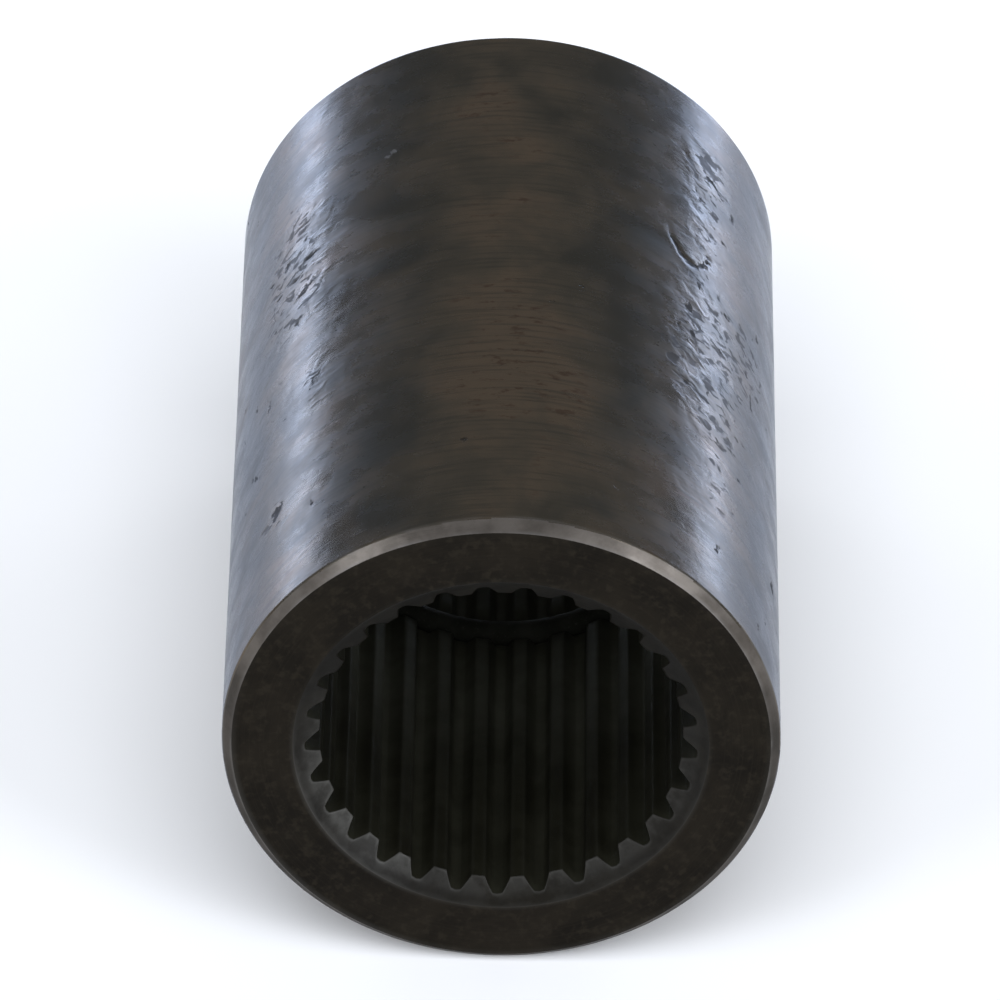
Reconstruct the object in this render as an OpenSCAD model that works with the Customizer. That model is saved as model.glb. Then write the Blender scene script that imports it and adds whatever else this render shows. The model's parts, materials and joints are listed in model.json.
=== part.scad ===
// Rigid sleeve coupling. One straight steel sleeve has a splined bore right through it and takes
// a shaft at each end. A sprung wire ring in a groove at mid-length stops both shafts.
// The common shaft axis lies along Y, and the origin is on that axis at mid-length.

/* [Sleeve] */
// Outside diameter of the sleeve
sleeve_d = 54.6; // [48:0.2:70]
// Overall length of the sleeve
sleeve_len = 82.5; // [50:0.5:160]
// Leg of the 45 degree chamfer on each outer edge
edge_chamfer = 0.9; // [0.3:0.1:2]

/* [Spline] */
// Number of spline teeth
teeth = 29; // [24:1:30]
// Tooth module, which is the pitch diameter over the number of teeth
tooth_module = 1.25; // [1:0.05:1.25]
// How far the lead-in chamfer opens beyond the tooth roots, per side
lead_in_rim = 1.1; // [0.4:0.1:2]
// Depth of the lead-in chamfer from the end face to where the tooth tips begin
lead_in_depth = 1.6; // [0.8:0.1:4]

/* [Centre groove] */
// Width of the groove at mid-length
groove_w = 2.8; // [2.6:0.1:6]
// How far the groove goes below the tooth roots, per side
groove_below_root = 0.4; // [0.2:0.1:1.5]
// Leg of the small chamfer where the teeth meet the groove
tooth_end_chamfer = 0.35; // [0.1:0.05:0.8]

/* [Stop ring] */
// Diameter of the ring's round wire
wire_d = 2.5; // [1.8:0.1:2.6]
// Open gap between the ring's two ends, along its mean circle
ring_gap = 12.5; // [8:0.5:24]

/* [Hidden] */
$fn = 144;

// 30 degree involute spline that centres on its flanks
pressure_angle = 30;
profile_shift = 0.15;
size_over_module = 1.1;
root_clearance = 0.16;
flank_steps = 4;
pitch_r = tooth_module * teeth / 2;
base_r = pitch_r * cos(pressure_angle);
size_r = tooth_module * (teeth + 2 * profile_shift + size_over_module) / 2;
tip_r = size_r - tooth_module;
root_r = size_r + root_clearance * tooth_module;
// The flanks are drawn from inside the tooth tips to outside the roots
flank_start_r = tip_r - 2 * root_clearance * tooth_module;
flank_end_r = root_r + root_clearance * tooth_module;
space_w = tooth_module * (PI / 2 + 2 * profile_shift * tan(pressure_angle));
// A space is centred on -Z, so with an odd number of teeth one tooth stands on +Z
first_space = 270;

sleeve_r = sleeve_d / 2;
half_len = sleeve_len / 2;
mouth_r = root_r + lead_in_rim;
groove_r = root_r + groove_below_root;
// The spline cutter runs this far past each end face
overrun = 1;

ring_r = groove_r - wire_d / 2;
ring_gap_angle = ring_gap / ring_r * 180 / PI;

sleeve_steel = [0.20, 0.18, 0.165];
spring_steel = [0.11, 0.11, 0.12];

// Involute function in degrees
function inv(a) = tan(a) * 180 / PI - a;

// Half of the angle that one tooth space takes up at radius r
function space_half_angle(r) =
    space_w / (2 * pitch_r) * 180 / PI + inv(pressure_angle) - inv(acos(base_r / r));

function polar(r, a) = [r * cos(a), r * sin(a)];

// Point i of a flank, on the side of the space that side says, 1 or -1
function flank_point(i, side) =
    let (r = flank_start_r + (flank_end_r - flank_start_r) * i / flank_steps)
    polar(r, side * space_half_angle(r));

// Outline of one tooth space, pointing along +X of its own plane
module space_outline() {
    polygon(concat(
        [for (i = [0:flank_steps]) flank_point(i, 1)],
        [for (i = [flank_steps:-1:0]) flank_point(i, -1)]
    ));
}

// Every tooth space, closed by the round root
module spaces() {
    intersection() {
        circle(r = root_r);
        for (i = [0:teeth - 1])
            rotate(first_space + i * 360 / teeth) space_outline();
    }
}

// Half section of the sleeve before the spaces are cut: radius along X, length along Y
module tube_section() {
    groove_half = groove_w / 2;
    end_half = groove_half + tooth_end_chamfer;
    polygon([
        [mouth_r, -half_len],
        [sleeve_r - edge_chamfer, -half_len],
        [sleeve_r, -half_len + edge_chamfer],
        [sleeve_r, half_len - edge_chamfer],
        [sleeve_r - edge_chamfer, half_len],
        [mouth_r, half_len],
        [tip_r, half_len - lead_in_depth],
        [tip_r, end_half],
        [tip_r + tooth_end_chamfer, groove_half],
        [groove_r, groove_half],
        [groove_r, -groove_half],
        [tip_r + tooth_end_chamfer, -groove_half],
        [tip_r, -end_half],
        [tip_r, -half_len + lead_in_depth],
    ]);
}

// Turned sleeve with the spline cut through it
module coupling_sleeve() {
    color(sleeve_steel)
    rotate([90, 0, 0])
    difference() {
        rotate_extrude() tube_section();
        translate([0, 0, -half_len - overrun])
            linear_extrude(sleeve_len + 2 * overrun) spaces();
    }
}

// Open round-wire ring, sprung out against the floor of the groove, with its gap at the top
module centre_stop_ring() {
    color(spring_steel)
    rotate([90, 0, 0])
    rotate([0, 0, 90 + ring_gap_angle / 2])
        rotate_extrude(angle = 360 - ring_gap_angle)
            translate([ring_r, 0]) circle(d = wire_d, $fn = 32);
}

coupling_sleeve();
centre_stop_ring();
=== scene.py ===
"""The looks of a rigid sleeve coupling: an oil-blackened, pitted steel sleeve with a splined bore,
and the wire stop ring in the groove at its mid-length. The shaft axis is Y and the front end faces -Y."""

import json
import math
import random

import bpy
import numpy as np
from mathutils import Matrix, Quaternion, Vector, noise


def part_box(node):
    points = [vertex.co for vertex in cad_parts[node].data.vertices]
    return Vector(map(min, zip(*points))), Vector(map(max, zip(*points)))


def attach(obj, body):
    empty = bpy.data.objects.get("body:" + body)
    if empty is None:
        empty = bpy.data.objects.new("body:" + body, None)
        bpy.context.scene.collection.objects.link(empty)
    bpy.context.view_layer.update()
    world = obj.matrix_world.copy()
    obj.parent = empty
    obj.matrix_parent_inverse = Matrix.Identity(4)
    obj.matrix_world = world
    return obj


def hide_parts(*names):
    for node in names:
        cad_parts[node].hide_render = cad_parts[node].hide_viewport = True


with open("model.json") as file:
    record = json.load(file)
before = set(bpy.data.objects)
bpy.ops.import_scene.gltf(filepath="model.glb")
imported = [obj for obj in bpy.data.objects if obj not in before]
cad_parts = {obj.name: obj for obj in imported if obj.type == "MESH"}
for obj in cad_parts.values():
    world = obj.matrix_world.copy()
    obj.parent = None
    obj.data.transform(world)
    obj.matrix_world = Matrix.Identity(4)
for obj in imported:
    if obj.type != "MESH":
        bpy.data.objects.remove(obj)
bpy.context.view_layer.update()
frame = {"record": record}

MM = 0.001
DEG = math.pi / 180

# ---------------------------------------------------------------- sizes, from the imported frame

sleeve_low, sleeve_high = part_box("coupling_sleeve")
ring_low, ring_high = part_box("centre_stop_ring")
spline_mount = next(m for m in frame["record"]["mounts"] if m["name"] == "front_spline")

OUTER_R = min(sleeve_high.x - sleeve_low.x, sleeve_high.z - sleeve_low.z) / 2
HALF_LEN = (sleeve_high.y - sleeve_low.y) / 2
FLOOR_Z = sleeve_low.z

# The spline is a 30 degree involute of module 1.25 mm, with a tooth space at the bottom
TEETH = 29
MODULE = 1.25 * MM
PRESSURE = 30 * DEG
PROFILE_SHIFT = 0.15
ROOT_CLEARANCE = 0.16
TIP_R = spline_mount["dims"]["r_mm"] * MM
ROOT_R = TIP_R + (1 + ROOT_CLEARANCE) * MODULE
PITCH_R = MODULE * TEETH / 2
BASE_R = PITCH_R * math.cos(PRESSURE)
SPACE_W = MODULE * (math.pi / 2 + 2 * PROFILE_SHIFT * math.tan(PRESSURE))
FIRST_SPACE = -90 * DEG

# The lead-in opens to the mouth. The groove takes the stop ring, and a small chamfer ends the teeth there
MOUTH_R = ROOT_R + 1.1 * MM
GROOVE_R = ROOT_R + 0.4 * MM
TOOTH_END = 0.35 * MM
WIRE_R = (ring_high.y - ring_low.y) / 2
RING_GAP = 12.5 * MM
GROOVE_HALF = WIRE_R + 0.15 * MM
LEAD_IN = HALF_LEN - GROOVE_HALF - TOOTH_END - spline_mount["dims"]["length_mm"] * MM
LEAD_IN_SLOPE = (MOUTH_R - TIP_R) / LEAD_IN
CHAMFER = 1.0 * MM
EDGE_R = OUTER_R - CHAMFER

# ---------------------------------------------------------------- camera


def make_camera():
    """A long lens above the front end. Its distance and aim are in sleeve radii."""
    data = bpy.data.cameras.new("camera")
    data.sensor_width = 36
    data.lens = 383
    data.clip_start, data.clip_end = 0.05, 20
    camera = bpy.data.objects.new("camera", data)
    bpy.context.scene.collection.objects.link(camera)
    azimuth, elevation, roll = -0.303 * DEG, 37.437 * DEG, 1.375 * DEG
    away = Vector((math.sin(azimuth) * math.cos(elevation),
                   -math.cos(azimuth) * math.cos(elevation),
                   math.sin(elevation)))
    aim = Vector((-0.0170, -0.0227, -0.0298)) * OUTER_R
    camera.location = aim + away * 39.196 * OUTER_R
    camera.rotation_mode = "QUATERNION"
    turn = Quaternion(away, roll)
    camera.rotation_quaternion = turn @ (-away).to_track_quat("-Z", "Y")
    bpy.context.scene.camera = camera


make_camera()

# ---------------------------------------------------------------- small tools


def smooth_min(a, b, k):
    """The lower of two heights, with the corner between them rounded over about k."""
    h = np.maximum(k - np.abs(a - b), 0) / k
    return np.minimum(a, b) - h * h * k / 4


def smooth_max(a, b, k):
    return -smooth_min(-a, -b, k)


def noise_field(points, scale, octaves, seed):
    """Fractal noise, about -1 to 1, at an array of points in metres. scale is features per metre."""
    shift = Vector((seed, 2.3 * seed, -1.7 * seed))
    flat = points.reshape(-1, 3) * scale
    values = [noise.fractal(Vector(p) + shift, 1.0, 2.0, octaves) for p in flat]
    return np.array(values).reshape(points.shape[:-1])


def on_cylinder(radius, angle, along):
    """Points at an angle from +X towards +Z round the shaft axis, and along it."""
    radius, angle, along = np.broadcast_arrays(radius, angle, along)
    return np.stack([radius * np.cos(angle), along, radius * np.sin(angle)], -1)


# ---------------------------------------------------------------- marks on the outside

# Places on the outside are in degrees clockwise from the top as seen from the front, and mm from
# the front end. Each pit is (degrees, mm, width round the sleeve, length along it, depth, turn),
# with sizes in mm and the turn in degrees.
PITS = [
    (41, 45, 0.9, 1.3, 0.16, 0), (42, 41, 0.7, 1.2, 0.12, 20), (40, 32, 1.1, 0.9, 0.14, 0),
    (38, 41, 0.5, 0.8, 0.10, 0), (37, 30, 0.5, 0.6, 0.10, 0), (51, 42, 1.7, 1.0, 0.06, 30),
    (61, 44, 0.7, 1.3, 0.09, 0), (63, 40, 0.35, 4.4, 0.07, 3), (49, 9, 0.5, 1.5, 0.11, -25),
    (65, 5, 0.8, 1.1, 0.08, -20), (75, 17, 1.2, 1.7, 0.10, 30), (59, 31, 0.9, 0.6, 0.07, 0),
    (48, 70, 1.6, 0.7, 0.10, 25), (51, 69, 1.5, 0.6, 0.10, -30), (56, 67, 0.7, 1.6, 0.10, 0),
    (45, 65, 1.8, 0.5, 0.10, 30), (52, 61, 0.9, 0.7, 0.08, 0), (67, 53, 0.7, 1.2, 0.08, 10),
    (54, 35, 1.0, 0.6, 0.07, -20), (57, 24, 0.5, 0.9, 0.08, 0), (40, 25, 0.8, 0.5, 0.08, 0),
    (53, 49, 1.0, 0.6, 0.08, 20), (44, 50, 0.6, 0.9, 0.09, 0), (47, 55, 0.7, 0.5, 0.08, 0),
    (-55, 57, 0.7, 1.7, 0.14, -35), (-61, 57, 0.8, 0.9, 0.08, 0), (-47, 55, 1.7, 0.5, 0.09, 10),
    (-49, 50, 2.3, 0.8, 0.13, 20), (-59, 48, 1.3, 0.7, 0.09, -20), (-46, 48, 0.7, 0.6, 0.08, 0),
    (-52, 53, 1.2, 0.4, 0.07, 15), (-58, 53, 1.4, 0.4, 0.08, 15), (-47, 62, 0.8, 0.5, 0.08, 0),
    (-60, 36, 0.5, 1.8, 0.08, -10), (-66, 39, 0.6, 0.8, 0.07, 0), (-54, 31, 0.8, 0.5, 0.08, 0),
    (-45, 33, 0.4, 2.2, 0.07, -15), (-65, 27, 1.9, 0.6, 0.12, -40), (-55, 16.5, 1.7, 1.5, 0.14, 15),
    (-61, 15, 1.2, 0.5, 0.07, 20), (-44, 13, 0.6, 0.9, 0.08, 0), (-39, 39, 0.6, 0.8, 0.09, 0),
    (7, 40, 0.7, 0.7, 0.05, 0), (15, 40, 0.6, 1.1, 0.06, -30), (-9, 14, 0.8, 0.8, 0.04, 0),
    (9, 37, 0.6, 0.8, 0.04, 0), (28, 48, 0.5, 1.0, 0.04, 0), (23, 9, 0.5, 1.6, 0.03, 0),
]
# A flake of scale, in the same degrees and mm
FLAKE_AT, FLAKE_HALF_WIDTH, FLAKE_HALF_LENGTH = (41.5, 59), 3.0 * MM, 6.3 * MM
# Bright specks where the scale is nicked to bare steel, written as the pits are
NICKS = [(-26, 65, 0.5, 2.4, 0.0, -50), (18, 21, 0.3, 0.5, 0.0, 0), (33, 8, 0.3, 0.6, 0.0, 20)]
# Where small pits crowd: degrees, mm, half-width in degrees, half-length in mm, strength
CROWDS = [
    (46, 62, 7, 8, 0.8), (47, 42, 10, 9, 1.0), (62, 45, 9, 8, 0.7), (50, 30, 9, 5, 0.7),
    (49, 19, 5, 6, 0.5), (58, 18, 8, 5, 0.3), (49, 71, 8, 4, 1.0), (38, 36, 3, 8, 0.6),
    (-54, 55, 9, 7, 1.0), (-50, 48, 8, 4, 1.0), (-58, 38, 8, 5, 0.6), (-45, 33, 4, 6, 0.7),
    (-60, 28, 6, 4, 0.5), (-57, 16, 5, 3, 0.8), (-50, 64, 8, 5, 0.5), (5, 28, 12, 10, 0.35),
]
# Browner (+) and darker (-) stains in the oxide, written as the crowds are
STAINS = [
    (3, 26, 14, 8, 1.0), (9, 20, 7, 2.2, 0.8), (-4, 65, 8, 6, 0.6), (-4, 37, 10, 5, 0.6),
    (20, 16, 8, 2.5, 0.5), (-6, 4, 7, 2.5, 0.5), (0, 50, 8, 5, 0.2), (18, 45, 8, 2.6, -0.9),
    (27, 38, 6, 2, -0.8), (20, 65, 8, 4.5, -0.7), (-1, 75, 3, 2, -0.7), (3, 72, 3, 2, -0.8),
    (8, 69, 4, 2, -0.9), (-24, 46, 4, 1.2, -0.7), (-27, 17, 7, 3, -0.9), (-26, 27, 6, 4.5, -0.7),
    (-27, 5, 6, 2.5, -0.8), (27, 26, 6, 4.5, -0.7), (-19, 37, 4, 4.5, -0.6), (-23, 76, 10, 3, -0.7),
    (23, 78, 9, 2.5, -0.7), (30, 55, 5, 6, -0.5), (-30, 60, 5, 6, -0.4), (0, 41, 9, 45, 0.35),
    (-23, 41, 7, 45, -0.35), (24, 41, 7, 45, -0.35),
]
# Small pits are drawn at random only beyond this many degrees from the top. Scratches run all round
RANDOM_FROM = 68
SMALL_PITS = 220
SCRATCHES = 26
SEED = 29


def surface_offsets(angle, along, place):
    """Distances round and along the surface from one place, for arrays of points on it."""
    at = math.pi / 2 - place[0] * DEG
    turned = np.mod(at - angle + math.pi, 2 * math.pi) - math.pi
    return turned * OUTER_R, along + HALF_LEN - place[1] * MM


def reach_from(mark, angle, along):
    """Distance from a mark's middle as a share of its half-size, in the mark's own turned axes."""
    *place, width, length, _, degrees = mark
    turn = degrees * DEG
    u, v = surface_offsets(angle, along, place)
    p = (math.cos(turn) * u + math.sin(turn) * v) / (width / 2 * MM)
    q = (math.cos(turn) * v - math.sin(turn) * u) / (length / 2 * MM)
    return np.sqrt(p * p + q * q)


def small_pits(pick):
    """Small pits in clusters on the lower part of the sleeve."""
    pits = []
    while len(pits) < SMALL_PITS:
        place = (pick.uniform(-180, 180), pick.uniform(1, 2 * HALF_LEN / MM - 1))
        at = on_cylinder(OUTER_R, place[0] * DEG, place[1] * MM)
        crowd = noise.noise(Vector(at) * 70)
        if abs(place[0]) > RANDOM_FROM and pick.random() < 0.15 + 1.6 * crowd:
            size = pick.uniform(0.4, 0.8) + 0.7 * pick.random() ** 4
            stretch = pick.uniform(0.7, 1.6)
            pits.append((*place, size * stretch, size / stretch,
                         0.02 + 0.06 * size * pick.random(), pick.gauss(0, 35)))
    return pits


def stamp_flake(relief, ragged, angle, along):
    """A flake of scale, lifted a little, with a crescent trench in front and a shallower one down its side.
    Returns a mask of the crescent."""
    u, v = surface_offsets(angle, along, FLAKE_AT)
    p, q = u / FLAKE_HALF_WIDTH, v / FLAKE_HALF_LENGTH
    middle_out = np.hypot(p, q)
    reach = middle_out * (1 + 0.06 * ragged)
    front = np.clip(-2 * q / np.maximum(middle_out, 1e-6) - 0.4, 0, 1)
    side = np.clip(p / np.maximum(middle_out, 1e-6), 0, 1) ** 2
    relief += 0.03 * MM * np.clip((1 - reach) / 0.15, 0, 1)
    relief -= 0.10 * MM * front * np.exp(-((reach - 1) / 0.07) ** 2)
    relief -= 0.05 * MM * side * np.exp(-((reach - 1) / 0.10) ** 2)
    relief += 0.03 * MM * front * np.exp(-((reach - 1.15) / 0.08) ** 2)
    off_line = np.abs(reach - 1) * np.hypot(u, v) / np.maximum(reach, 1e-6)
    return front * np.clip(1 - off_line / (0.6 * MM), 0, 1)


def stamp_scratch(relief, angle, along, pick):
    """A fine straight score, deepest at its middle."""
    place = (pick.uniform(-180, 180), pick.uniform(3, 2 * HALF_LEN / MM - 3))
    turn, half_long = pick.gauss(90, 45) * DEG, pick.uniform(1.5, 6) * MM
    u, v = surface_offsets(angle, along, place)
    p = u * math.cos(turn) + v * math.sin(turn)
    q = v * math.cos(turn) - u * math.sin(turn)
    fade = np.clip(1 - (p / half_long) ** 2, 0, 1)
    relief -= pick.uniform(0.010, 0.025) * MM * fade * np.exp(-(q / (0.25 * MM)) ** 2)


def blend_of(spots, angle, along):
    """Sum of soft round spots, each (degrees, mm, half-width, half-length, strength)."""
    total = np.zeros(angle.shape)
    for *place, half_width, half_length, strength in spots:
        u, v = surface_offsets(angle, along, place)
        p, q = u / (half_width * DEG * OUTER_R), v / (half_length * MM)
        total += strength * np.exp(-0.8 * (p * p + q * q))
    return total


def outside_fields(angle, along):
    """How the outside varies: relief in metres, masks from 0 to 1 for pits, nicks and crowding, and
    a stain from -1, dark, to 1, brown."""
    points = on_cylinder(OUTER_R, angle, along)
    waves = noise_field(points, 90, 2, seed=3.0)
    lumps = noise_field(points, 400, 2, seed=8.0)
    ragged = noise_field(points, 1300, 2, seed=1.0)
    crowd = noise_field(points, 75, 2, seed=5.0)
    upper = np.clip(0.5 + 1.2 * np.sin(angle), 0, 1)
    crowding = np.clip(blend_of(CROWDS, angle, along) + (1.1 - upper) * (0.25 + 1.4 * crowd), 0, 1)
    stain = blend_of(STAINS, angle, along) + (1.25 - upper) * noise_field(points, 50, 3, seed=7.0)
    relief = (0.022 * waves + (0.010 + 0.030 * crowding) * lumps) * MM
    pits = np.zeros(angle.shape)
    nicks = np.zeros(angle.shape)
    pick = random.Random(SEED)
    for pit in PITS + small_pits(pick):
        depth = pit[4]
        reach = reach_from(pit, angle, along) * (1 + 0.3 * ragged)
        hollow, lip = np.clip(1 - reach ** 2, 0, 1) ** 0.8, np.exp(-((reach - 1.3) / 0.3) ** 2)
        relief += depth * MM * (0.12 * lip - 0.55 * hollow)
        pits = np.maximum(pits, np.clip(1 - reach / 2, 0, 1) * min(1, 0.35 + 6 * depth))
    for mark in NICKS:
        nicks = np.maximum(nicks, np.clip(1 - reach_from(mark, angle, along) / 2, 0, 1))
    pits = np.maximum(pits, stamp_flake(relief, ragged, angle, along))
    for _ in range(SCRATCHES):
        stamp_scratch(relief, angle, along, pick)
    return {"relief": relief, "pits": pits, "nicks": nicks, "crowding": crowding,
            "stain": np.clip(stain, -1, 1)}


# ---------------------------------------------------------------- the sleeve's mesh

# The sleeve is one closed grid. A row goes once round the axis, with COLUMNS points. The rows go
# from the groove out through the front mouth, over the outside and back in at the rear.
# Columns on a tooth's flank stand at these shares of its height.
FLANK_SHARES = (0.0, 0.1, 0.35, 0.65, 0.9, 1.0)
OUTSIDE_ROWS = 118


def involute(a):
    return np.tan(a) - a


def space_half_angle(r):
    """Half of the angle that one tooth space takes up at radius r."""
    return SPACE_W / (2 * PITCH_R) + involute(PRESSURE) - involute(np.arccos(BASE_R / r))


def column_offsets():
    """Angles of one pitch's columns from the middle of its space, and how near each is to a tooth's edge."""
    half_pitch = math.pi / TEETH
    flank = [float(space_half_angle(TIP_R + s * (ROOT_R - TIP_R))) for s in FLANK_SHARES]
    land = (flank[0] + half_pitch) / 2
    side = [land] + flank
    near_edge = [0.15, 1.0, 0.6, 0.0, 0.0, 0.0, 0.0]
    offsets = [-half_pitch] + [-a for a in side] + [0.0] + side[::-1]
    edges = [0.0] + near_edge + [0.0] + near_edge[::-1]
    return np.array(offsets), np.array(edges)


PITCH_OFFSETS, PITCH_EDGES = column_offsets()
COLUMNS = TEETH * len(PITCH_OFFSETS)
SPACE_ANGLES = FIRST_SPACE + np.arange(TEETH) * 2 * math.pi / TEETH
BORE_ANGLES = (SPACE_ANGLES[:, None] + PITCH_OFFSETS[None, :]).ravel()
EVEN_ANGLES = BORE_ANGLES[0] + np.arange(COLUMNS) * 2 * math.pi / COLUMNS
TOOTH_EDGES = np.tile(PITCH_EDGES, TEETH)


def bore_radius():
    """Radius of the splined wall at each column, with rounded tooth tips and roots."""
    radii = np.linspace(TIP_R - 0.6 * MM, ROOT_R + 0.5 * MM, 80)
    half_angles = space_half_angle(radii)
    offset = np.abs(np.tile(PITCH_OFFSETS, TEETH))
    flank = np.interp(offset, half_angles[::-1], radii[::-1])
    wall = smooth_min(flank, np.full(COLUMNS, ROOT_R), 0.30 * MM)
    return smooth_max(wall, np.full(COLUMNS, TIP_R), 0.10 * MM)


# Rows over one end are worked out as (radius, depth in from the end face, nearness to an edge, evenness).
# At an evenness of 0 the columns stand as the teeth need them, and at 1 they are evenly spaced.


def groove_rows(wall, end_at):
    """The groove's floor and wall, and the chamfered inner ends of the teeth."""
    groove_at = HALF_LEN - GROOVE_HALF
    tooth_top = np.maximum(wall, TIP_R + TOOTH_END)
    return [
        (GROOVE_R, HALF_LEN, 0.0, 0.0),
        (GROOVE_R, HALF_LEN - 0.5 * GROOVE_HALF, 0.0, 0.0),
        (GROOVE_R, HALF_LEN - 0.95 * GROOVE_HALF, 0.0, 0.0),
        (GROOVE_R - 0.04 * MM, groove_at, 0.0, 0.0),
        (tooth_top + 0.04 * MM, groove_at, 0.3, 0.0),
        (tooth_top, groove_at - 0.03 * MM, 0.6, 0.0),
        (wall, end_at - 0.05 * MM, 0.6, 0.0),
    ]


def tooth_rows(wall, end_at, meet_at):
    """The teeth, from their inner ends to where the lead-in cuts them."""
    first, last = end_at - 0.1 * MM, meet_at + 0.15 * MM
    shares = (0.04, 0.3, 0.6, 0.85, 0.96)
    return [(wall, first * (1 - share) + last * share, TOOTH_EDGES, 0.0) for share in shares]


def lead_in_rows(wall, meet_at, burr):
    """The lead-in cone, from where it cuts the teeth to its rounded rim on the end face."""
    rows = []
    for step in (0.14, 0.05, 0.0, -0.05, -0.14):
        depth = meet_at + step * MM
        cone = MOUTH_R - LEAD_IN_SLOPE * (depth - burr)
        near_edge = np.maximum(TOOTH_EDGES, 1 - abs(step) / 0.16)
        rows.append((smooth_max(wall, cone, 0.16 * MM), depth, near_edge, 0.0))
    for share in (0.72, 0.45, 0.2):
        depth = share * (meet_at - burr)
        rows.append((MOUTH_R - LEAD_IN_SLOPE * depth, depth, 0.0, 0.2))
    rim = 0.10 * MM
    rows.append((MOUTH_R - 0.6 * rim, 0.6 * rim / LEAD_IN_SLOPE, 0.4, 0.3))
    rows.append((MOUTH_R - 0.02 * rim, 0.12 * rim, 0.9, 0.35))
    rows.append((MOUTH_R + 0.9 * rim, 0.0, 0.4, 0.4))
    return rows


def face_rows():
    """The end face, from the lead-in's rim to the outer chamfer."""
    width = EDGE_R - MOUTH_R
    rows = [(MOUTH_R + width * share, 0.0, 0.0, 0.4 + 0.6 * share) for share in (0.08, 0.3, 0.6, 0.9)]
    return rows + [(EDGE_R - 0.07 * MM, 0.0, 0.4, 1.0)]


def end_rows(side):
    """Rows from the groove's middle to the outer edge of one end's face. side is -1 in front, 1 at the rear.
    Each row is (angles, radii, depths in from the end face, nearness to an edge)."""
    wall = bore_radius()
    burr = 0.05 * MM * noise_field(on_cylinder(TIP_R, BORE_ANGLES, side * HALF_LEN), 900, 2, seed=4.0)
    end_at = HALF_LEN - GROOVE_HALF - np.maximum(TOOTH_END - (wall - TIP_R), 0)
    meet_at = (MOUTH_R - wall) / LEAD_IN_SLOPE + burr
    section = groove_rows(wall, end_at) + tooth_rows(wall, end_at, meet_at)
    section += lead_in_rows(wall, meet_at, burr) + face_rows()
    level = np.zeros(COLUMNS)
    rows = []
    for radius, depth, edge, evenness in section:
        angles = BORE_ANGLES * (1 - evenness) + EVEN_ANGLES * evenness
        rows.append((angles, radius + level, depth + level, edge + level))
    return rows


def outside_depths():
    """How far each outside row is from the front end: close on the chamfers and at the flake's trench."""
    length = 2 * HALF_LEN
    chamfer = np.array([0.012, 0.07, 0.3, 0.6, 0.85, 0.95, 1.04, 1.14, 1.26, 1.4, 1.55]) * MM
    first = 1.9 * MM
    trench = np.arange(FLAKE_AT[1] - 8, FLAKE_AT[1] - 2, 0.35) * MM
    body = np.sort(np.append(np.linspace(first, length - first, OUTSIDE_ROWS), trench))
    return np.concatenate([chamfer, body, length - chamfer[::-1]])


def chamfer_limit(angle, depth):
    """The radius that the chamfers leave, a little uneven. The front chamfer is longer at the top."""
    from_end = np.minimum(depth, 2 * HALF_LEN - depth)
    uneven = 0.03 * MM * noise_field(on_cylinder(OUTER_R, angle, depth - HALF_LEN), 260, 2, seed=6.0)
    off_top = np.mod(angle + math.pi / 2, 2 * math.pi) - math.pi
    stretch = 1 + 0.40 * np.exp(-(off_top / (20 * DEG)) ** 2) * (depth < HALF_LEN)
    return EDGE_R + from_end / stretch + uneven * np.clip(from_end / (0.3 * MM), 0, 1)


def outside_rows():
    """Rows over the outside and its chamfers, front to rear, and the fields that its materials use."""
    angle, depth = np.meshgrid(EVEN_ANGLES, outside_depths())
    fields = outside_fields(angle, depth - HALF_LEN)
    relief = fields.pop("relief")
    lowered = relief - np.percentile(relief, 90)
    skin = OUTER_R + smooth_min(lowered, np.zeros(angle.shape), 0.02 * MM)
    bevel = chamfer_limit(angle, depth)
    radius = smooth_min(skin, bevel, 0.12 * MM)
    from_end = np.minimum(depth, 2 * HALF_LEN - depth)
    near_skin = np.exp(-((skin - bevel) / (0.10 * MM)) ** 2)
    near_face = np.exp(-((from_end - 0.03 * MM) / (0.06 * MM)) ** 2)
    fields["edge"] = np.clip(near_skin + near_face, 0, 1)
    return on_cylinder(radius, angle, depth - HALF_LEN), fields


def build_sleeve():
    """The whole sleeve as one closed mesh, with the fields that its materials use."""
    outside, fields = outside_rows()
    front, rear = end_rows(-1), end_rows(1)[:0:-1]
    start, stop = len(front), len(front) + len(outside)
    co = np.zeros((stop + len(rear), COLUMNS, 3))
    edges = np.zeros(co.shape[:2])
    for i, (angles, radii, depths, edge) in enumerate(front):
        co[i], edges[i] = on_cylinder(radii, angles, depths - HALF_LEN), edge
    for i, (angles, radii, depths, edge) in enumerate(rear, stop):
        co[i], edges[i] = on_cylinder(radii, angles, HALF_LEN - depths), edge
    co[start:stop] = outside
    mesh = grid_mesh("coupling_sleeve", co)
    for name, values in fields.items():
        field = edges if name == "edge" else np.zeros(co.shape[:2])
        field[start:stop] = values
        attribute = mesh.attributes.new(name, "FLOAT", "POINT")
        attribute.data.foreach_set("value", field.ravel().astype(np.float32))
    lay_chart(mesh, co)
    return mesh


def lay_chart(mesh, co):
    """One flat chart of the whole grid for baked textures: columns across, and rows up by their length."""
    columns = co.shape[1]
    step = np.linalg.norm(np.roll(co, -1, 0) - co, axis=-1).mean(1)
    up = np.append(0.0, np.cumsum(step) / step.sum())
    across = np.arange(columns + 1) / columns
    left, low = np.meshgrid(across[:-1], up[:-1])
    right, high = np.meshgrid(across[1:], up[1:])
    corners = [(left, low), (left, high), (right, high), (right, low)]
    uv = np.stack([np.stack(pair, -1) for pair in corners], -2)
    mesh.uv_layers.new(name="OFBake").data.foreach_set("uv", uv.ravel().astype(np.float32))


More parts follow.
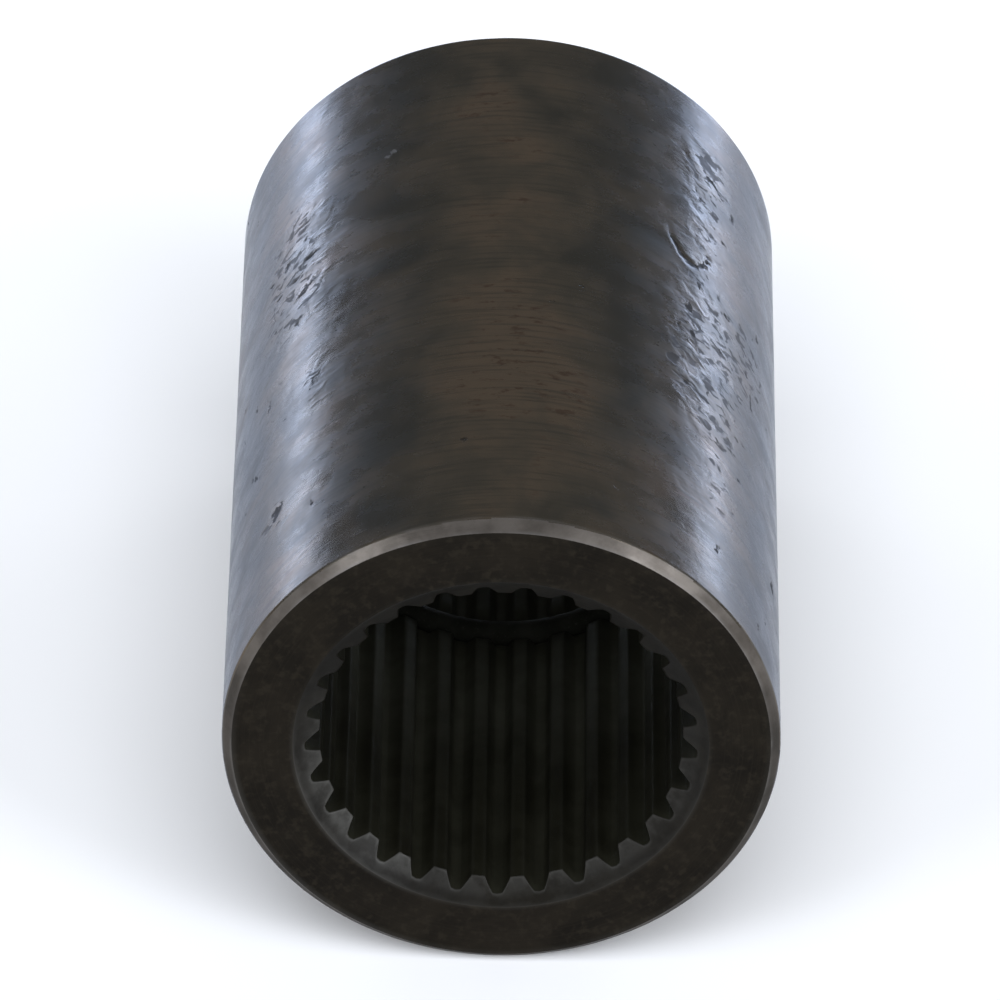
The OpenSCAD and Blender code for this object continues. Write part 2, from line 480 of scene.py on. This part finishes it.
def grid_mesh(name, co):
    """A mesh from rows of points that close on themselves both ways."""
    rows, columns = co.shape[:2]
    index = np.arange(rows * columns).reshape(rows, columns)
    right, below = np.roll(index, -1, 1), np.roll(index, -1, 0)
    corner = np.roll(below, -1, 1)
    quads = np.stack([index, below, corner, right], -1).reshape(-1, 4)
    mesh = bpy.data.meshes.new(name)
    mesh.vertices.add(rows * columns)
    mesh.vertices.foreach_set("co", co.ravel())
    mesh.loops.add(quads.size)
    mesh.loops.foreach_set("vertex_index", quads.ravel())
    mesh.polygons.add(len(quads))
    mesh.polygons.foreach_set("loop_start", np.arange(0, quads.size, 4))
    mesh.update(calc_edges=True)
    mesh.validate()
    mesh.shade_smooth()
    return mesh


# Each surface's place in the sleeve's list of finishes
ON_OUTSIDE, ON_FACE, ON_CHAMFER, IN_BORE, IN_LEAD_IN = range(5)


def assign_surfaces(mesh):
    """Gives each face its finish by where it is."""
    n = len(mesh.polygons)
    centre = np.zeros(n * 3)
    mesh.polygons.foreach_get("center", centre)
    centre = centre.reshape(-1, 3)
    radius = np.hypot(centre[:, 0], centre[:, 2])
    from_end = HALF_LEN - np.abs(centre[:, 1])
    finish = np.full(n, IN_BORE)
    outer = radius > EDGE_R - 0.02 * MM
    finish[outer] = ON_OUTSIDE
    finish[outer & (radius < OUTER_R - 0.12 * MM) & (from_end < 1.6 * CHAMFER)] = ON_CHAMFER
    finish[(radius > MOUTH_R) & (radius <= EDGE_R) & (from_end < 0.03 * MM)] = ON_FACE
    cone = MOUTH_R - LEAD_IN_SLOPE * from_end
    on_cone = (radius < MOUTH_R) & (np.abs(radius - cone) < 0.25 * MM)
    finish[on_cone & (from_end < LEAD_IN + 0.1 * MM)] = IN_LEAD_IN
    mesh.polygons.foreach_set("material_index", finish)


# ---------------------------------------------------------------- the stop ring's mesh

RING_TURN_STEPS = 150
RING_WIRE_STEPS = 24


def ring_turns():
    """The ring's bend radius, its start and stop angles, and rows of (angle, share of the wire's radius)."""
    bend_r = ring_high.x - WIRE_R
    gap = RING_GAP / bend_r / 2
    nose = 0.35 * MM / bend_r
    start, stop = math.pi / 2 + gap, math.pi / 2 + 2 * math.pi - gap
    tip = [(0.05, 0.80), (0.4, 0.96), (1.0, 1.0)]
    rows = [(start + nose * along, share) for along, share in tip]
    rows += [(a, 1.0) for a in np.linspace(start + 2 * nose, stop - 2 * nose, RING_TURN_STEPS)]
    rows += [(stop - nose * along, share) for along, share in tip[::-1]]
    return bend_r, start, stop, rows


def build_ring():
    """Round wire bent to an open ring, with its two cut ends slightly rounded. The gap is at the top."""
    bend_r, start, stop, rows = ring_turns()
    n = RING_WIRE_STEPS
    verts = [(bend_r * math.cos(a), 0.0, bend_r * math.sin(a)) for a in (start, stop)]
    for a, share in rows:
        for k in range(n):
            b = 2 * math.pi * k / n
            r = bend_r + WIRE_R * share * math.cos(b)
            verts.append((r * math.cos(a), WIRE_R * share * math.sin(b), r * math.sin(a)))
    last = len(verts) - n
    faces = []
    for k in range(n):
        j = (k + 1) % n
        faces.append((0, 2 + j, 2 + k))
        faces.append((1, last + k, last + j))
        for a in range(2, last, n):
            faces.append((a + k, a + j, a + n + j, a + n + k))
    mesh = bpy.data.meshes.new("centre_stop_ring")
    mesh.from_pydata(verts, [], faces)
    mesh.update()
    mesh.shade_smooth()
    return mesh


# ---------------------------------------------------------------- node helpers


class Finish:
    """A material being built: short calls that add nodes and link them."""

    def __init__(self, name):
        self.material = bpy.data.materials.new(name)
        self.material.use_nodes = True
        self.tree = self.material.node_tree
        self.tree.nodes.clear()
        self.output = self.tree.nodes.new("ShaderNodeOutputMaterial")
        self.shader = self.tree.nodes.new("ShaderNodeBsdfPrincipled")
        self.tree.links.new(self.shader.outputs[0], self.output.inputs["Surface"])
        self.place = self.tree.nodes.new("ShaderNodeTexCoord").outputs["Object"]

    def feed(self, socket, value):
        if isinstance(value, bpy.types.NodeSocket):
            self.tree.links.new(value, socket)
        else:
            socket.default_value = value

    def set(self, **inputs):
        """Sets or links the main shader's inputs, named with underscores for spaces."""
        for name, value in inputs.items():
            self.feed(self.shader.inputs[name.replace("_", " ")], value)

    def math(self, operation, a, b=0.0):
        node = self.tree.nodes.new("ShaderNodeMath")
        node.operation = operation
        self.feed(node.inputs[0], a)
        self.feed(node.inputs[1], b)
        return node.outputs[0]

    def stretched(self, scale):
        """Object coordinates scaled by (x, y, z), in features per metre."""
        node = self.tree.nodes.new("ShaderNodeMapping")
        self.feed(node.inputs["Vector"], self.place)
        node.inputs["Scale"].default_value = scale
        return node.outputs[0]

    def noise(self, scale, detail=3.0, roughness=0.5, distortion=0.0):
        """Noise from 0 to 1. scale is one number or (x, y, z), in features per metre."""
        sizes = scale if isinstance(scale, tuple) else (scale, scale, scale)
        node = self.tree.nodes.new("ShaderNodeTexNoise")
        self.feed(node.inputs["Vector"], self.stretched(sizes))
        node.inputs["Scale"].default_value = 1.0
        node.inputs["Detail"].default_value = detail
        node.inputs["Roughness"].default_value = roughness
        node.inputs["Distortion"].default_value = distortion
        return node.outputs["Fac"]

    def ring_noise(self, per_metre):
        """Noise that depends on the radius alone, for the marks that turning leaves on a flat end."""
        node = self.tree.nodes.new("ShaderNodeTexNoise")
        node.noise_dimensions = "1D"
        self.feed(node.inputs["W"], self.math("MULTIPLY", self.radius(), float(per_metre)))
        node.inputs["Scale"].default_value = 1.0
        node.inputs["Detail"].default_value = 3.0
        return node.outputs["Fac"]

    def split(self):
        """X, Y and Z in the object's own frame."""
        node = self.tree.nodes.new("ShaderNodeSeparateXYZ")
        self.feed(node.inputs[0], self.place)
        return node.outputs["X"], node.outputs["Y"], node.outputs["Z"]

    def radius(self):
        """Distance from the shaft axis."""
        x, _, z = self.split()
        squares = self.math("ADD", self.math("MULTIPLY", x, x), self.math("MULTIPLY", z, z))
        return self.math("POWER", squares, 0.5)

    def attribute(self, name):
        node = self.tree.nodes.new("ShaderNodeAttribute")
        node.attribute_name = name
        return node.outputs["Fac"]

    def ramp(self, value, low, high, to_low=0.0, to_high=1.0):
        """Maps value from low..high to to_low..to_high, smoothly and held at both ends."""
        node = self.tree.nodes.new("ShaderNodeMapRange")
        node.interpolation_type = "SMOOTHSTEP"
        for name, v in (("Value", value), ("From Min", low), ("From Max", high),
                        ("To Min", to_low), ("To Max", to_high)):
            self.feed(node.inputs[name], v)
        return node.outputs[0]

    def mix(self, factor, a, b):
        """Mixes two colours."""
        node = self.tree.nodes.new("ShaderNodeMix")
        node.data_type = "RGBA"
        self.feed(node.inputs["Factor"], factor)
        for socket, value in ((node.inputs["A"], a), (node.inputs["B"], b)):
            self.feed(socket, value if isinstance(value, bpy.types.NodeSocket) else (*value, 1.0))
        return node.outputs["Result"]

    def bump(self, height, distance, after=None):
        """A bump whose height of 1 stands distance metres high."""
        node = self.tree.nodes.new("ShaderNodeBump")
        node.inputs["Strength"].default_value = 1.0
        node.inputs["Distance"].default_value = distance
        self.feed(node.inputs["Height"], height)
        if after is not None:
            self.feed(node.inputs["Normal"], after)
        return node.outputs[0]


# ---------------------------------------------------------------- materials

# Colours are linear, and bump heights are in metres
OXIDE_DARK = (0.056, 0.050, 0.036)
OXIDE_BROWN = (0.138, 0.101, 0.065)
OXIDE_GREY = (0.097, 0.079, 0.054)
RUST = (0.075, 0.044, 0.026)
GRIME = (0.014, 0.013, 0.011)
BARE_STEEL = (0.20, 0.19, 0.18)
# Colour of rubbed edges, also used for the painted highlight on edges at the lower left
EDGE_WEAR_AND_HIGHLIGHT = (0.07, 0.067, 0.06)


def scale_colour(m, streaks):
    """The oxide's colour: grey to dark or brown with the stain, with dark streaks and rusty specks."""
    stain = m.math("ADD", m.attribute("stain"), m.ramp(m.noise(150, 4, 0.55, 0.3), 0.25, 0.75, -0.6, 0.6))
    speckle = m.noise((480, 1100, 480), 4, 0.65)
    colour = m.mix(m.ramp(stain, 0.25, -1.1), OXIDE_GREY, OXIDE_DARK)
    colour = m.mix(m.ramp(stain, -0.1, 1.1), colour, OXIDE_BROWN)
    colour = m.mix(m.ramp(streaks, 0.46, 0.68, 0.0, 0.5), colour, OXIDE_DARK)
    rusty = m.math("MULTIPLY", m.ramp(speckle, 0.54, 0.66, 0.0, 0.7), m.ramp(stain, 0.2, 1.0))
    return m.mix(rusty, colour, RUST)


def scaled_outside():
    """Oil-blackened mill scale: stained brown and grey, with turning streaks, pits and rubbed lumps."""
    m = Finish("blackened_scale")
    streaks = m.noise((110, 2100, 110), 4, 0.6)
    crowding = m.attribute("crowding")
    dashes = m.math("ADD", m.noise((620, 980, 620), 2, 0.45, 0.8), m.ramp(crowding, 0.0, 1.0, -0.20, 0.07))
    small = m.ramp(dashes, 0.57, 0.68)
    ragged = m.ramp(m.noise(1500, 4, 0.65), 0.25, 0.75, -0.28, 0.28)
    large = m.ramp(m.math("ADD", m.attribute("pits"), ragged), 0.36, 0.62)
    pitted = m.math("MAXIMUM", m.math("MULTIPLY", small, 0.65), large)
    colour = m.mix(m.math("MULTIPLY", pitted, 0.68), scale_colour(m, streaks), GRIME)
    worn = m.math("MULTIPLY", m.attribute("edge"), m.ramp(m.noise(240, 3), 0.35, 0.65, 0.1, 0.5))
    nicked = m.ramp(m.math("ADD", m.attribute("nicks"), ragged), 0.50, 0.60)
    colour = m.mix(m.math("MAXIMUM", worn, nicked), colour, BARE_STEEL)

    lumpy = m.math("MULTIPLY", m.noise(460, 2, 0.45, 0.5), m.ramp(crowding, 0.0, 1.0, 0.22, 1.0))
    normal = m.bump(streaks, 0.000012)
    normal = m.bump(lumpy, 0.00014, after=normal)
    normal = m.bump(m.noise(2400, 2, 0.5), 0.000004, after=normal)
    normal = m.bump(m.math("SUBTRACT", 1.0, large), 0.000025, after=normal)
    normal = m.bump(m.math("SUBTRACT", 1.0, small), 0.000012, after=normal)
    rough = m.ramp(m.noise((150, 260, 150), 5, 0.65), 0.3, 0.7, 0.21, 0.34)
    rough = m.math("ADD", rough, m.math("MULTIPLY", pitted, 0.36))
    m.set(Base_Color=colour, Metallic=0.8, Roughness=rough, Normal=normal, Specular_IOR_Level=0.5,
          Specular_Tint=(0.66, 0.73, 0.88, 1.0))
    return m.material


def turned_face():
    """The end faces: turned flat, then oil-blackened, with close rings of tool marks."""
    m = Finish("blackened_end_face")
    rings = m.ring_noise(5200)
    broad = m.ring_noise(900)
    blotch = m.noise(130, 5, 0.65, 0.4)
    colour = m.mix(m.ramp(blotch, 0.35, 0.65), (0.0052, 0.0041, 0.0026), (0.0100, 0.0078, 0.0049))
    colour = m.mix(m.math("MULTIPLY", m.ramp(rings, 0.5, 0.75), 0.3), colour, (0.015, 0.012, 0.008))
    colour = m.mix(m.ramp(m.noise(1100, 3, 0.6), 0.48, 0.70, 0.0, 0.6), colour, (0.016, 0.0128, 0.0083))
    # A faint rubbed line all round the mouth's edge, with a painted highlight added at the lower left.
    wear_and_highlight = m.math("ADD", 0.05, m.math("MULTIPLY", lower_left_highlight(m), 0.45))
    colour = m.mix(m.math("MULTIPLY", m.attribute("edge"), wear_and_highlight), colour, EDGE_WEAR_AND_HIGHLIGHT)
    normal = m.bump(rings, 0.000006)
    normal = m.bump(broad, 0.000010, after=normal)
    normal = m.bump(m.noise(1800, 4, 0.6), 0.000012, after=normal)
    rough = m.ramp(m.noise(240, 4, 0.6), 0.3, 0.7, 0.42, 0.55)
    m.set(Base_Color=colour, Metallic=0.0, Roughness=rough, Normal=normal, Specular_IOR_Level=0.05)
    return m.material


def worn_chamfer_painted_shade():
    """The outer chamfers: turned, with a thin oxide rubbed grey in patches, and painted shade that makes
    them darker low down.
    """
    m = Finish("worn_chamfer_painted_shade")
    z = m.split()[2]
    patch = m.ramp(m.noise(170, 5, 0.6), 0.35, 0.65)
    colour = m.mix(patch, (0.078, 0.067, 0.056), (0.145, 0.127, 0.109))
    dull = m.mix(patch, (0.045, 0.040, 0.034), (0.080, 0.070, 0.061))
    # Painted shade: the chamfer takes the dull colour low down, darker towards the bottom.
    colour = m.mix(m.ramp(z, 0.1 * OUTER_R, 0.55 * OUTER_R), dull, colour)
    worn = m.math("MULTIPLY", m.attribute("edge"), m.ramp(m.noise(240, 3), 0.35, 0.65, 0.1, 0.6))
    colour = m.mix(m.math("MULTIPLY", worn, 0.8), colour, BARE_STEEL)
    lines = m.noise((60, 9000, 60), 3, 0.5)
    normal = m.bump(lines, 0.00001)
    normal = m.bump(m.noise(1500, 4, 0.6), 0.000015, after=normal)
    rough = m.ramp(m.noise(300, 4), 0.3, 0.7, 0.34, 0.48)
    m.set(Base_Color=colour, Metallic=0.75, Roughness=rough, Normal=normal,
          Specular_Tint=(0.4, 0.4, 0.4, 1.0))
    return m.material


def lower_left_highlight(m):
    """How much painted highlight falls on the mouth, 0 to 1: none at the top, most at the lower left."""
    x, _, z = m.split()
    low = m.ramp(z, 0.3 * OUTER_R, -0.3 * OUTER_R)
    left = m.ramp(x, -0.2 * OUTER_R, -0.5 * OUTER_R, 0.4, 1.0)
    return m.math("MULTIPLY", low, left)


def lead_in_steel():
    """The lead-in cones: turned, oily and blotched, with a painted highlight that makes the teeth and edges
    lighter grey at the lower left.
    """
    m = Finish("blackened_lead_in")
    wear_and_highlight = lower_left_highlight(m)
    blotch = m.ramp(m.noise(260, 4, 0.6), 0.38, 0.62)
    colour = m.mix(blotch, (0.0050, 0.0042, 0.0028), (0.0085, 0.0072, 0.0049))
    # Painted highlight: the tooth tips are lighter grey at the lower left.
    tooth = m.ramp(m.radius(), ROOT_R + 0.6 * MM, ROOT_R - 0.4 * MM, 0.35, 1.0)
    patchy = m.ramp(m.noise(330, 4, 0.6), 0.36, 0.62, 0.3, 1.0)
    rubbed = m.math("MULTIPLY", m.math("MULTIPLY", tooth, wear_and_highlight), patchy)
    colour = m.mix(rubbed, colour, (0.046, 0.044, 0.039))
    # Painted highlight on the edges at the lower left.
    worn = m.math("MULTIPLY", m.math("MULTIPLY", m.attribute("edge"), wear_and_highlight), 0.6)
    colour = m.mix(worn, colour, EDGE_WEAR_AND_HIGHLIGHT)
    normal = m.bump(m.noise((400, 6000, 400), 3, 0.5), 0.000008)
    normal = m.bump(m.noise(1600, 4, 0.6), 0.000012, after=normal)
    rough = m.ramp(m.noise(350, 4), 0.3, 0.7, 0.36, 0.48)
    m.set(Base_Color=colour, Metallic=0.15, Roughness=rough, Normal=normal, Specular_IOR_Level=0.10)
    return m.material


def spline_steel():
    """The teeth and the groove: broached and oily, with painted fill light that makes them lighter away from
    the mouths and in the tooth roots.
    """
    m = Finish("blackened_spline")
    # Painted fill light: lighter deep in the bore and in the tooth roots, to lift the shade there.
    inward = m.ramp(m.math("ABSOLUTE", m.split()[1]), 0.9 * HALF_LEN, 0.15 * HALF_LEN)
    in_root = m.ramp(m.radius(), TIP_R + 0.1 * MM, ROOT_R, 0.0, 0.12)
    painted_fill_light = m.math("ADD", m.math("MULTIPLY", m.math("POWER", inward, 3.0), 0.85), in_root)
    blotch = m.ramp(m.noise(200, 4, 0.6), 0.35, 0.65)
    colour = m.mix(blotch, (0.0052, 0.0048, 0.0028), (0.0082, 0.0077, 0.0046))
    colour = m.mix(painted_fill_light, colour, m.mix(blotch, (0.050, 0.049, 0.033), (0.066, 0.065, 0.046)))
    colour = m.mix(m.math("MULTIPLY", m.attribute("edge"), 0.12), colour, (0.030, 0.030, 0.024))
    normal = m.bump(m.noise((2600, 90, 2600), 4, 0.6), 0.000020)
    normal = m.bump(m.noise(1600, 4, 0.6), 0.000012, after=normal)
    rough = m.ramp(m.noise(350, 4), 0.3, 0.7, 0.50, 0.62)
    m.set(Base_Color=colour, Metallic=0.0, Roughness=rough, Normal=normal, Specular_IOR_Level=0.05)
    return m.material


def ring_steel():
    """Black phosphated spring wire, dull, with a fine grain."""
    m = Finish("phosphated_wire")
    grain = m.noise(3200, 4, 0.6)
    patch = m.ramp(m.noise(260, 4, 0.6), 0.35, 0.65)
    colour = m.mix(patch, (0.022, 0.022, 0.016), (0.034, 0.034, 0.026))
    colour = m.mix(m.ramp(grain, 0.55, 0.75), colour, (0.045, 0.045, 0.037))
    normal = m.bump(grain, 0.000010)
    rough = m.ramp(m.noise(500, 3), 0.3, 0.7, 0.60, 0.72)
    m.set(Base_Color=colour, Metallic=0.0, Roughness=rough, Normal=normal, Specular_IOR_Level=0.05)
    return m.material


# ---------------------------------------------------------------- pieces


def add_piece(name, mesh, materials):
    piece = bpy.data.objects.new(name, mesh)
    bpy.context.scene.collection.objects.link(piece)
    for material in materials:
        mesh.materials.append(material)
    return piece


def make_sleeve():
    mesh = build_sleeve()
    assign_surfaces(mesh)
    finishes = [None] * 5
    finishes[ON_OUTSIDE] = scaled_outside()
    finishes[ON_FACE] = turned_face()
    finishes[ON_CHAMFER] = worn_chamfer_painted_shade()
    finishes[IN_BORE] = spline_steel()
    finishes[IN_LEAD_IN] = lead_in_steel()
    sleeve = add_piece("splined_sleeve", mesh, finishes)
    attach(sleeve, "root")
    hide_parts("coupling_sleeve")


def make_ring():
    ring = add_piece("stop_ring_wire", build_ring(), [ring_steel()])
    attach(ring, "root")
    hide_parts("centre_stop_ring")


make_sleeve()
make_ring()

# ---------------------------------------------------------------- floor, light


def floor_material():
    m = Finish("pale_floor")
    cloud = m.noise(9, 3, 0.5)
    m.set(Base_Color=m.mix(m.ramp(cloud, 0.3, 0.7), (0.91, 0.89, 0.86), (0.94, 0.92, 0.89)),
          Roughness=0.8, Specular_IOR_Level=0.2)
    return m.material


def make_floor():
    half = 6.0
    mesh = bpy.data.meshes.new("floor")
    mesh.from_pydata([(-half, -half, FLOOR_Z), (half, -half, FLOOR_Z),
                      (half, half, FLOOR_Z), (-half, half, FLOOR_Z)], [], [(0, 1, 2, 3)])
    add_piece("floor", mesh, [floor_material()])


def softbox(name, place, aim, size, power, colour, shown_in_gloss=True):
    """A rectangular softbox of (width, height), turned to face aim."""
    data = bpy.data.lights.new(name, "AREA")
    data.shape = "RECTANGLE"
    data.size, data.size_y = size
    data.energy = power
    data.color = colour
    light = bpy.data.objects.new(name, data)
    light.location = place
    light.rotation_mode = "QUATERNION"
    light.rotation_quaternion = (Vector(aim) - Vector(place)).to_track_quat("-Z", "Y")
    light.visible_camera = False
    light.visible_glossy = shown_in_gloss
    bpy.context.scene.collection.objects.link(light)


COOL = (0.86, 0.91, 1.0)
COOLER = (0.72, 0.82, 1.0)


def make_light():
    """Low strips behind, left and right, draw the bright bands, and small boxes light the floor by them.
    Softboxes stand in front and overhead."""
    reach, bearing, height = 0.32, 37 * DEG, 0.048
    middle = FLOOR_Z + height / 2 + 0.003
    for name, side in (("left", -1), ("right", 1)):
        x, y = side * reach * math.sin(bearing), reach * math.cos(bearing)
        softbox(name + "_strip", (x, y, middle), (0, 0, middle), (0.30, height), 0.32, COOLER)
        over, under = (side * 0.16, 0.17, 0.10), (side * 0.16, 0.17, FLOOR_Z)
        softbox(name + "_floor_light", over, under, (0.12, 0.12), 0.12, COOL, shown_in_gloss=False)
    away, turn = 1.3, 50 * DEG
    for name, side, tall, power in (("left_softbox", -1, 0.4, 6.0), ("right_softbox", 1, 0.7, 9.0)):
        x, y = side * away * math.sin(turn), -away * math.cos(turn)
        softbox(name, (x, y, 0.75), (0, 0, 0), (0.5, tall), power, COOL)
    softbox("low_right_softbox", (0.95, -1.0, 0.13), (0, 0, 0), (0.6, 0.3), 4.0, COOL)
    softbox("low_left_softbox", (-0.95, -1.0, 0.13), (0, 0, 0), (0.4, 0.2), 0.3, COOL)
    softbox("overhead_softbox", (0, -1.0, 1.55), (0, 0, 0), (1.6, 1.6), 30, COOL, shown_in_gloss=False)
    world = bpy.data.worlds.new("studio")
    world.use_nodes = True
    world.node_tree.nodes["Background"].inputs["Color"].default_value = (0.25, 0.26, 0.28, 1)
    bpy.context.scene.world = world
    bpy.context.scene.view_settings.view_transform = "Standard"


make_floor()
make_light()
